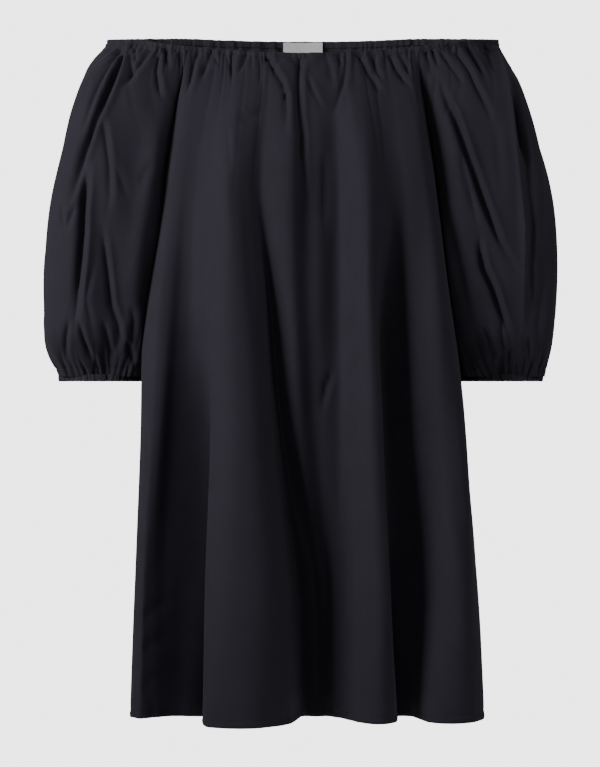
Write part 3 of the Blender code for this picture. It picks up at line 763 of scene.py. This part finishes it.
def sleeve_form(side, columns, rows):
    """Points of one sleeve. Rows above the underarm are arcs from raglan seam to raglan seam."""
    made = []
    for level in rows:
        flat = eased((level - FLAT_FROM) / (FLAT_BY - FLAT_FROM))
        power = 1.0 - (1.0 - FLATNESS) * flat
        inner_power = 1.0 - (1.0 - INNER_FLATNESS) * flat
        right_outer, left_outer, middle, half_depth = read_at(SLEEVE_SECTIONS, level)
        outer = right_outer if side < 0 else left_outer
        inner, seam_y, half_gap = seam_at(min(level, UNDERARM))
        if level > UNDERARM:
            inner = read_at(SLEEVE_INNER, level)[0 if side < 0 else 1]
        openings = []
        for reach in (half_gap + middle - seam_y, half_gap - middle + seam_y):
            sine = min(1.0, abs(reach) / half_depth) ** (1.0 / inner_power)
            openings.append(math.copysign(math.asin(sine), reach))
        angles = np.linspace(openings[0], 2 * math.pi - openings[1], ARC_POINTS)
        front_half, back_half = (outer - inner) / (1.0 + np.cos(openings))
        half_width = np.linspace(front_half, back_half, ARC_POINTS)
        square = np.where(np.cos(angles) > 0.0, inner_power, power)
        line = np.column_stack((
            outer - half_width - half_width * np.cos(angles),
            middle - half_depth * np.sign(np.sin(angles)) * np.abs(np.sin(angles)) ** square,
        ))
        length = distances(line)
        share = np.linspace(0.0, 1.0, columns + 1)
        at = length[-1] * share * (COLUMN_SPACING[0] + COLUMN_SPACING[1] * share)
        x = np.interp(at, length, line[:, 0])
        y = np.interp(at, length, line[:, 1])
        made.append(np.column_stack((x, y, -level + ring_height(x, y, level))))
    form = np.array(made)
    if side < 0:
        form = form[:, ::-1] * np.array((-1.0, 1.0, 1.0))
    return form


BODY_SPACE = 0.0018
BODY_SIDE = 0.120
BODY_ROUNDING = 0.020
BODY_SEAM_FADE = 60


def laid_against_body(form, rows, side):
    """Lay a sleeve's inner wall against the front and back, where it would pass through them.
    Its raglan seam stays where it is sewn.
    """
    across = np.linspace(0.0, 1.0, form.shape[1])
    off_seam = eased(np.minimum(across, 1.0 - across) * BODY_SEAM_FADE)
    form = form.copy()
    for row, level in zip(form, rows):
        for panel, levels in ((front_form, front_rows), (back_form, back_rows)):
            body = panel[np.argmin(np.abs(levels - level))]
            body = body[side * body[:, 0] > BODY_SIDE]
            apart = row[:, None, 1] - body[None, :, 1]
            reach = (side * body[None, :, 0] - apart ** 2 / BODY_ROUNDING).max(axis=1)
            pushed = np.maximum(0.0, reach + BODY_SPACE - side * row[:, 0])
            row[:, 0] += side * off_seam * pushed
    return form


SLEEVE_GATHERS = (
    # edge, count, depths, lengths
    ("neckline", 36, (0.0008, 0.0034), (0.010, 0.050)),
    ("cuff", 42, (0.0012, 0.0042), (0.012, 0.045)),
    ("neckline", 24, (0.0003, 0.0016), (0.060, 0.200)),
    ("cuff", 30, (0.0003, 0.0018), (0.040, 0.150)),
)
SLEEVE_CREASE_TOP = 50
SLEEVE_CREASE_BOTTOM = 417
OUTER_CREASE_SHIFT = 6
FACING = 2.2
SLEEVE_SEAM_FADE = 30


def sleeve(name, side, creases, hidden_creases, seed):
    """One sleeve's cloth, with its creases, and its gathers at the neckline and the cuff."""
    share = np.linspace(0.0, 1.0, SLEEVE_ROWS)
    share = share - ROW_CLOSENESS * np.sin(2 * math.pi * share)
    rows = PANEL_START + (SLEEVE_BOTTOM - PANEL_START) * share
    form = sleeve_form(side, SLEEVE_COLUMNS, rows)
    closed_from = int(np.searchsorted(rows, UNDERARM))
    form = softened(form, 6, 0)
    across = np.linspace(0.0, 1.0, form.shape[1])
    normals = outward(form, closed_from)
    x = form[:, :, 0] / MM
    drop = -form[:, :, 2] / MM
    y = form[:, :, 1] / MM
    in_front = eased(-FACING * normals[:, :, 1])
    behind = eased(FACING * normals[:, :, 1])
    outer_side = np.clip(1.0 - in_front - behind, 0.0, 1.0) * eased(2.0 * side * normals[:, :, 0])
    inwards = np.zeros(x.shape)
    for flat_on, fall, pressed_in, share_seen in (
        (x, drop, creases, in_front),
        (x, drop, hidden_creases, behind),
        (y, drop + OUTER_CREASE_SHIFT * side, OUTER_CREASES, outer_side),
    ):
        depth = crease_depths(
            flat_on, fall, pressed_in, SLEEVE_CREASE_TOP, SLEEVE_CREASE_BOTTOM
        )
        inwards += depth * MM * share_seen
    for step, (edge, count, depths, lengths) in enumerate(SLEEVE_GATHERS):
        run = rows - PANEL_START if edge == "neckline" else SLEEVE_BOTTOM - rows
        inwards += gather_depths(across, run, count, depths, lengths, seed + step)
    inwards += slow_drift(form, seed, 0.07, 0.0030) * eased((rows - 0.02) / 0.1)[:, None]
    inwards += stitch_dip(rows, CASING_HEIGHT) + stitch_dip(rows, SLEEVE_BOTTOM - CUFF_HEIGHT)
    at_seam = np.minimum(across, 1.0 - across) * SLEEVE_SEAM_FADE
    inwards = inwards * eased(at_seam)[None, :]
    moved = normals * inwards[:, :, None]

    # The sleeve's end keeps its height, so that the cuff casing covers it all round
    moved[:, :, 2] *= eased((SLEEVE_BOTTOM - rows) / CUFF_HEIGHT)[:, None]
    form = laid_against_body(form - moved, rows, side)
    return shell(name, form, closed_from), form, inwards, rows


sleeve_right, right_form, right_pressed, sleeve_rows = sleeve(
    "sleeve_right_cloth", -1, RIGHT_CREASES, mirrored(LEFT_CREASES, 9), 7
)
sleeve_left, left_form, left_pressed, sleeve_rows = sleeve(
    "sleeve_left_cloth", 1, LEFT_CREASES, mirrored(RIGHT_CREASES, -7), 11
)
for piece, node in ((sleeve_right, "sleeve_right"), (sleeve_left, "sleeve_left")):
    piece.data.materials.append(body_poplin)
    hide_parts(node)
    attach(piece, "root")

# Neckline casing
# The panels' top edges are turned over a flat elastic and stitched down, which ruffles the
# poplin into fine uneven pleats all the way round.
CASING_HALF_THICKNESS = 0.0014
CASING_MIDDLE = -0.0012
BOW_POINTS = 500


def ring_line(count):
    """The neckline seen from above, counterclockwise from the front's right end."""
    x = np.linspace(-RAGLAN_X, RAGLAN_X, BOW_POINTS)
    bow = np.column_stack((x, -RAGLAN_Y - bow_out(x)))
    angles = np.linspace(-math.pi / 2, math.pi / 2, BOW_POINTS)
    arm = np.column_stack((
        RAGLAN_X + (SHOULDER_X - RAGLAN_X) * np.cos(angles),
        RAGLAN_Y * np.sin(angles),
    ))
    loop = np.concatenate((bow[:-1], arm[:-1], -bow[:-1], -arm))
    return evenly_round(loop, count)


def evenly_round(loop, count):
    """Points at even distances round a loop whose last point repeats its first."""
    length = distances(loop)
    at = np.linspace(0.0, length[-1], count + 1)[:-1]
    return np.column_stack([np.interp(at, length, loop[:, k]) for k in range(2)])


def pressed_ring(ring, edges):
    """How deep the gathered edges of the cloth lie in at each point of a ring."""
    spots = np.concatenate([form_row[:, :2] for form_row, _ in edges])
    depths = np.concatenate([depth for _, depth in edges])
    pressed = np.empty(len(ring))
    for k, point in enumerate(ring):
        pressed[k] = depths[np.argmin(((spots - point) ** 2).sum(axis=1))]
    return pressed


def elastic_casing(name, ring, pressed, top, height, pleat_width, pleat_depth, seed):
    """A casing round a flat ring of points, below the given top heights. It lies in where the
    cloth's gathers run into it, and has finer pleats of its own.
    """
    count = len(ring)
    ahead = np.roll(ring, -1, axis=0) - np.roll(ring, 1, axis=0)
    side = np.column_stack((ahead[:, 1], -ahead[:, 0]))
    side = side / np.linalg.norm(side, axis=1, keepdims=True)
    around = np.linalg.norm(np.roll(ring, -1, axis=0) - ring, axis=1)
    length = around.sum()
    at = np.cumsum(around) - around[0]
    random = np.random.default_rng(seed)
    pleats = int(length / pleat_width)
    centres = (np.arange(pleats) + random.uniform(0.1, 0.9, pleats)) * length / pleats
    depths = random.uniform(*pleat_depth, pleats)
    leans = random.uniform(-0.35, 0.35, pleats) * pleat_width
    profile = np.linspace(0.0, 2 * math.pi, 21)[:-1]
    out = CASING_HALF_THICKNESS * np.sign(np.cos(profile)) * np.abs(np.cos(profile)) ** 0.55
    up = height / 2 * np.sign(np.sin(profile)) * np.abs(np.sin(profile)) ** 0.75
    layers = []
    for proud, rise in zip(out, up):
        lean = leans[:, None] * (rise / height)
        gap = (at[None, :] - centres[:, None] - lean + length / 2) % length - length / 2
        pleated = (depths[:, None] * np.exp(-(gap / (0.26 * pleat_width)) ** 2)).sum(axis=0)
        facing = proud / CASING_HALF_THICKNESS
        stitched = 0.45 * MM * math.exp(-((rise + 0.30 * height) / (0.08 * height)) ** 2)
        moved = CASING_MIDDLE + proud - facing * (pleated + stitched) - pressed
        ruffled = 0.5 * pleated * np.sign(rise) * abs(2 * rise / height) ** 4
        flat = ring + side * moved[:, None]
        layers.append(np.column_stack((flat, top - height / 2 + rise - ruffled)))
    rows = len(layers)
    points = np.concatenate(layers)
    index = np.arange(rows * count).reshape(rows, count)
    after = np.roll(index, -1, axis=1)
    below = np.roll(index, -1, axis=0)
    faces = np.stack((index, after, np.roll(after, -1, axis=0), below), axis=-1).reshape(-1, 4)
    mesh = bpy.data.meshes.new(name)
    mesh.from_pydata(points.tolist(), [], faces.tolist())
    layout = mesh.uv_layers.new(name="flat_cloth")
    girth = 2 * height * np.arange(rows) / rows
    corner_at = np.stack((at, at + around, at + around, at), axis=-1)
    corner_at = np.broadcast_to(corner_at[None], (rows, count, 4))
    step = 2 * height / rows
    corner_up = np.stack((girth, girth, girth + step, girth + step), axis=-1)
    corner_up = np.broadcast_to(corner_up[:, None, :], (rows, count, 4))
    flat = np.stack((corner_at, corner_up), axis=-1)
    layout.data.foreach_set("uv", flat.astype(np.float32).ravel())
    mesh.shade_smooth()
    return placed(name, mesh)


casing_poplin = poplin(
    "casing_poplin", (0.0218, 0.0202, 0.0280, 1), (0.0300, 0.0278, 0.0380, 1), 0.80
)
NECK_POINTS = 1500
NECK_PLEAT = 0.0047
NECK_PLEAT_DEPTHS = (0.0001, 0.0007)
ring = ring_line(NECK_POINTS)
ring_top = ring_height(ring[:, 0], ring[:, 1], 0.0)
pressed = pressed_ring(ring, (
    (front_form[0], front_pressed),
    (back_form[0], back_pressed),
    (right_form[0], right_pressed[0]),
    (left_form[0], left_pressed[0]),
))
neck_casing = elastic_casing(
    "neck_casing_cloth", ring, pressed, ring_top, CASING_HEIGHT, NECK_PLEAT, NECK_PLEAT_DEPTHS, 21
)
neck_casing.data.materials.append(casing_poplin)
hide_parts("neck_casing")
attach(neck_casing, "root")

# Cuff casings
# Each sleeve's end is turned over a narrower elastic in the same way.
OVAL_POINTS = 1200
CUFF_POINTS = 480
CUFF_INSET = 0.75 * MM
CUFF_PLEAT = 0.0046
CUFF_PLEAT_DEPTHS = (0.0002, 0.0009)
CUFF_FOLLOWS = 0.8
for name, node, end, end_pressed, seed in (
    ("cuff_casing_right_cloth", "cuff_casing_right", right_form[-1], right_pressed[-1], 31),
    ("cuff_casing_left_cloth", "cuff_casing_left", left_form[-1], left_pressed[-1], 37),
):
    low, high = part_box(node)
    middle = np.array(((low.x + high.x) / 2, (low.y + high.y) / 2))
    half = np.array(((high.x - low.x) / 2, (high.y - low.y) / 2)) - CUFF_INSET
    angles = np.linspace(0.0, 2 * math.pi, OVAL_POINTS)
    loop = middle + half * np.column_stack((np.cos(angles), np.sin(angles)))
    cuff_ring = evenly_round(loop, CUFF_POINTS)
    cuff_top = np.full(CUFF_POINTS, high.z)
    cuff_pressed = CUFF_FOLLOWS * pressed_ring(cuff_ring, ((end, end_pressed),))
    cuff = elastic_casing(
        name, cuff_ring, cuff_pressed, cuff_top, CUFF_HEIGHT, CUFF_PLEAT, CUFF_PLEAT_DEPTHS, seed
    )
    cuff.data.materials.append(casing_poplin)
    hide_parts(node)
    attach(cuff, "root")

# Stitching
# Rows of black polyester lockstitches hold the hem's turning and the casings' lower edges.
STITCH = 0.0024
STITCH_SPACE = 0.0032
THREAD_RADIUS = 0.00022
FIRST_STITCH = 0.002
THREAD_LIFT = 0.05 * MM


def stitch_row(name, lines):
    """Single stitches along lines of points, each given with the outward direction there."""
    points = []
    faces = []
    for line, directions in lines:
        length = distances(line)
        starts = np.arange(FIRST_STITCH, length[-1] - STITCH, STITCH_SPACE)
        for start in starts:
            at = start + STITCH * np.array((0.0, 0.25, 0.75, 1.0))
            spots = np.column_stack([np.interp(at, length, line[:, k]) for k in range(3)])
            out = np.array([np.interp(at[1], length, directions[:, k]) for k in range(3)])
            run = spots[3] - spots[0]
            side = np.cross(run, out)
            side = THREAD_RADIUS * side / max(np.linalg.norm(side), 1e-9)
            out = THREAD_RADIUS * out / max(np.linalg.norm(out), 1e-9)
            first = len(points)
            points.append(spots[0] - out)
            for spot in (spots[1], spots[2]):
                points.extend((spot + out, spot + side, spot - out, spot - side))
            points.append(spots[3] - out)
            for k in range(4):
                near = first + 1 + k
                beside = first + 1 + (k + 1) % 4
                faces.append((first, beside, near))
                faces.append((near, beside, beside + 4, near + 4))
                faces.append((near + 4, beside + 4, first + 9))
    mesh = bpy.data.meshes.new(name)
    mesh.from_pydata([tuple(point) for point in points], [], faces)
    mesh.shade_smooth()
    return placed(name, mesh)


def stitch_line(form, rows, level):
    """A line of stitches along a piece at a level, and the outward directions along it."""
    row = int(np.argmin(np.abs(rows - level)))
    directions = outward(form, len(rows))[row]
    return form[row] + THREAD_LIFT * directions, directions


def sewing_thread(name):
    """Black polyester thread: smoother and glossier than the poplin, with a fine twist."""
    material, shader, _ = new_finish(name)
    where = material.node_tree.nodes.new("ShaderNodeTexCoord")
    place = Thread(where.outputs["Object"])
    twist = place.node("ShaderNodeTexWave", {"bands_direction": "DIAGONAL"},
                       {"Vector": place, "Scale": 900})
    shade = place.node(
        "ShaderNodeValToRGB",
        {"stops": ((0.2, (0.012, 0.012, 0.015, 1)), (0.8, (0.022, 0.022, 0.026, 1)))},
        {"Fac": twist},
    )
    shade.into(shader.inputs["Base Color"])
    (0.38 + 0.08 * twist).into(shader.inputs["Roughness"])
    return material


thread = sewing_thread("black_thread")
hem_level = HEM - HEM_TURNING + 0.0003
cuff_level = SLEEVE_BOTTOM - CUFF_HEIGHT
neck_lines = [stitch_line(front_form, front_rows, CASING_HEIGHT)]
neck_lines += [stitch_line(back_form, back_rows, CASING_HEIGHT)]
neck_lines += [stitch_line(form, sleeve_rows, CASING_HEIGHT) for form in (right_form, left_form)]
for name, lines in (
    ("hem_stitching", [
        stitch_line(front_form, front_rows, hem_level),
        stitch_line(back_form, back_rows, hem_level),
    ]),
    ("neck_stitching", neck_lines),
    ("cuff_stitching_right", [stitch_line(right_form, sleeve_rows, cuff_level)]),
    ("cuff_stitching_left", [stitch_line(left_form, sleeve_rows, cuff_level)]),
):
    stitching = stitch_row(name, lines)
    stitching.data.materials.append(thread)
    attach(stitching, "root")

# Neck label
# A blank woven satin label, sewn by its top edge to the casing inside the back neck.
LABEL_COLUMNS = 40
LABEL_ROWS = 14
LABEL_THICKNESS = 0.0006
LABEL_INSET = 0.0062
LABEL_TOP = 0.0024
LABEL_LEAN = 0.002
LABEL_WAVE = 0.0005
low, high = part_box("neck_label")
label_x = np.linspace(high.x, low.x, LABEL_COLUMNS + 1)
label_share = np.linspace(0.0, 1.0, LABEL_ROWS + 1)
label_rows = []
for share in label_share:
    ring_y = RAGLAN_Y + bow_out(label_x)
    casing_y = ring_y - LABEL_INSET
    wave = LABEL_WAVE * np.sin(label_x * 190 + 1.3) * share
    y = casing_y - LABEL_LEAN * share + wave
    top = ring_height(label_x, ring_y, 0.0)
    z = top - LABEL_TOP - (high.z - low.z - LABEL_THICKNESS) * share
    label_rows.append(np.column_stack((label_x, y, z)))
label_form = np.array(label_rows)
label = shell("neck_label_satin", label_form, LABEL_ROWS + 1, LABEL_THICKNESS)


def woven_satin(name):
    """White woven satin: fine cross ribs and a slight sheen."""
    material, shader, flat = new_finish(name)
    rib = flat.node("ShaderNodeTexWave", {"bands_direction": "Y"}, {"Vector": flat, "Scale": 500})
    cloud = flat.node("ShaderNodeTexNoise", {}, {"Vector": flat, "Scale": 220, "Detail": 2})
    tone = 0.35 * rib + 0.65 * cloud
    shade = flat.node(
        "ShaderNodeValToRGB",
        {"stops": ((0.2, (0.56, 0.56, 0.56, 1)), (0.8, (0.66, 0.66, 0.65, 1)))},
        {"Fac": tone},
    )
    shade.into(shader.inputs["Base Color"])
    (0.42 + 0.12 * rib).into(shader.inputs["Roughness"])
    bump = rib.node("ShaderNodeBump", {}, {"Height": rib, "Strength": 0.25, "Distance": 0.0002})
    bump.into(shader.inputs["Normal"])
    return material


label.data.materials.append(woven_satin("white_satin"))
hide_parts("neck_label")
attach(label, "root")

# Studio
# A plain pale floor well below the hem, a pale surround, and large soft lights, the brightest
# from the front left.
FLOOR_RADIUS = 1.7
FLOOR_HEIGHT = -1.30
FLOOR_CORNERS = 120
floor_turns = [2 * math.pi * k / FLOOR_CORNERS for k in range(FLOOR_CORNERS)]
floor_edge = [
    (FLOOR_RADIUS * math.cos(turn), FLOOR_RADIUS * math.sin(turn), FLOOR_HEIGHT)
    for turn in floor_turns
]
floor_mesh = bpy.data.meshes.new("studio_floor")
floor_mesh.from_pydata(floor_edge, [], [tuple(range(FLOOR_CORNERS))])
floor = placed("studio_floor", floor_mesh)
floor_material, floor_shader, _ = new_finish("pale_floor")
floor_shader.inputs["Base Color"].default_value = (0.80, 0.80, 0.80, 1)
floor_shader.inputs["Roughness"].default_value = 0.8
floor.data.materials.append(floor_material)

world = bpy.data.worlds.new("studio_surround")
world.use_nodes = True
bpy.context.scene.world = world
surround = world.node_tree.nodes["Background"]
surround.inputs["Color"].default_value = (0.80, 0.80, 0.80, 1)
seen = Thread(world.node_tree.nodes.new("ShaderNodeLightPath").outputs["Is Camera Ray"])
SURROUND_LIGHT = 0.085
SURROUND_SEEN = 4.5
(SURROUND_LIGHT + (SURROUND_SEEN - SURROUND_LIGHT) * seen).into(surround.inputs["Strength"])


def softbox(name, place, aim, size, spread, watts):
    """A square soft light at a place, turned towards another place."""
    light = bpy.data.lights.new(name, "AREA")
    light.shape = "SQUARE"
    light.size = size
    light.spread = math.radians(spread)
    light.energy = watts
    box = placed(name, light)
    box.location = place
    direction = box.location - box.location.__class__(aim)
    box.rotation_euler = direction.to_track_quat("Z", "Y").to_euler()


softbox("key_light", (-1.95, -1.35, 0.25), (-0.22, 0.0, -0.20), 1.1, 52, 6.5)
softbox("side_light", (2.3, -1.1, 0.3), (0.0, 0.0, -0.30), 1.0, 180, 15)
softbox("front_fill", (-0.5, -3.4, 0.5), (0.0, 0.0, -0.40), 2.0, 180, 13)
softbox("back_light", (0.0, 2.6, 2.0), (0.0, 0.0, -0.35), 1.6, 180, 36)

camera_data = bpy.data.cameras.new("photo_camera")
camera_data.lens = 90
camera_data.sensor_width = 36
camera = placed("photo_camera", camera_data)
camera.location = (-0.00375, -2.3969, -0.430)
camera.rotation_euler = (math.pi / 2, 0.0, 0.0)
bpy.context.scene.camera = camera
